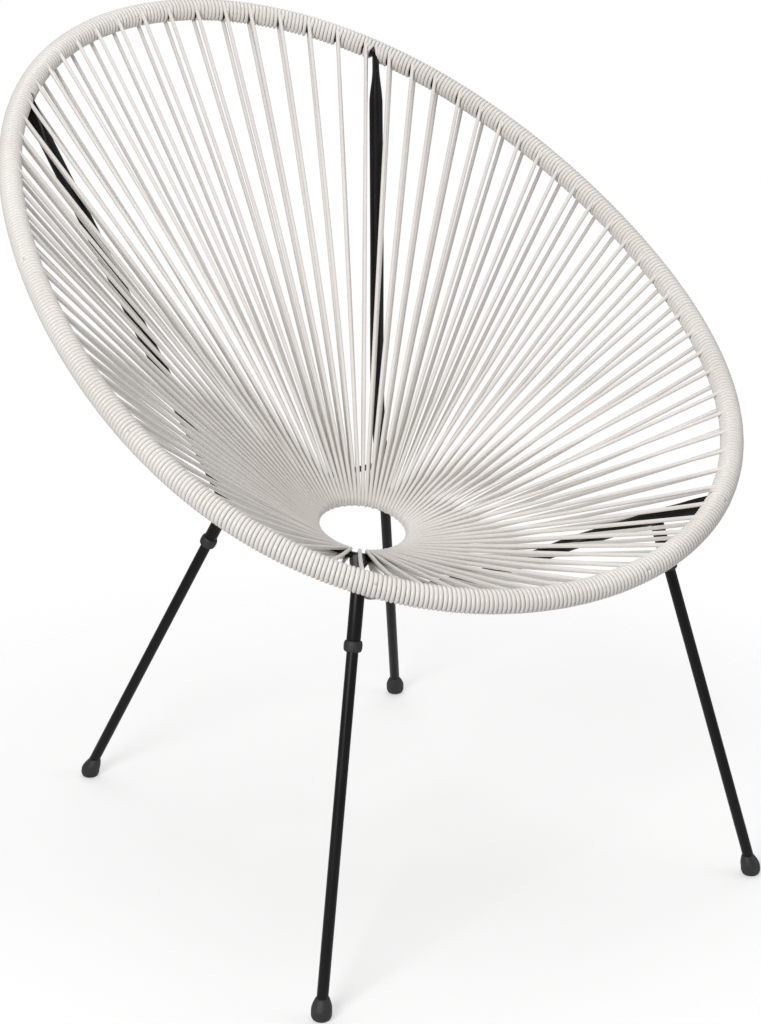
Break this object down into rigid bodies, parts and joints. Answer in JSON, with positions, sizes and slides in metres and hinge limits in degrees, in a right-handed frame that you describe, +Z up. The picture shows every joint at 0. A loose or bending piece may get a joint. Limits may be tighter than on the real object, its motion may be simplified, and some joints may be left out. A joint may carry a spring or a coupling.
{
  "type": "acapulco chair",
  "caption": "Egg-shaped lounge chair: a tilted steel rim wound with cord, cords drawn to a seat ring, and splayed screw-in legs with ball feet.",
  "frame": {"origin": "on the floor, under the middle of the rim's width and length", "axes": "+Z up, the sitter faces -Y, and +X is on the right of a viewer who looks along +Y at the front of the chair"},
  "size_m": [0.7468, 0.8754, 0.88],
  "materials": {
    "frame": "black powder coat, satin to semi-gloss",
    "black_plastic": "black moulded plastic, matte",
    "zinc": "bright zinc plate",
    "cord": "round off-white plastic cord, soft sheen"
  },
  "bodies": {
    "root": {"rim_tube": "frame", "seat_ring": "frame", "front_hoop": "frame", "back_rib_right": "frame", "back_rib_left": "frame", "cross_rod": "frame", "ring_stay": "frame", "socket_front_right": "frame", "socket_nut_front_right": "zinc", "leg_stud_front_right": "zinc", "collar_front_right": "black_plastic", "leg_tube_front_right": "frame", "foot_front_right": "black_plastic", "socket_front_left": "frame", "socket_nut_front_left": "zinc", "leg_stud_front_left": "zinc", "collar_front_left": "black_plastic", "leg_tube_front_left": "frame", "foot_front_left": "black_plastic", "socket_back_right": "frame", "socket_nut_back_right": "zinc", "leg_stud_back_right": "zinc", "collar_back_right": "black_plastic", "leg_tube_back_right": "frame", "foot_back_right": "black_plastic", "socket_back_left": "frame", "socket_nut_back_left": "zinc", "leg_stud_back_left": "zinc", "collar_back_left": "black_plastic", "leg_tube_back_left": "frame", "foot_back_left": "black_plastic", "cord_panel_1": "cord", "cord_panel_2": "cord", "cord_panel_3": "cord", "cord_panel_4": "cord", "cord_panel_5": "cord", "cord_panel_6": "cord", "cord_panel_7": "cord", "cord_panel_8": "cord", "cord_panel_9": "cord", "cord_panel_10": "cord", "cord_panel_11": "cord", "cord_panel_12": "cord"}
  },
  "joints": []
}
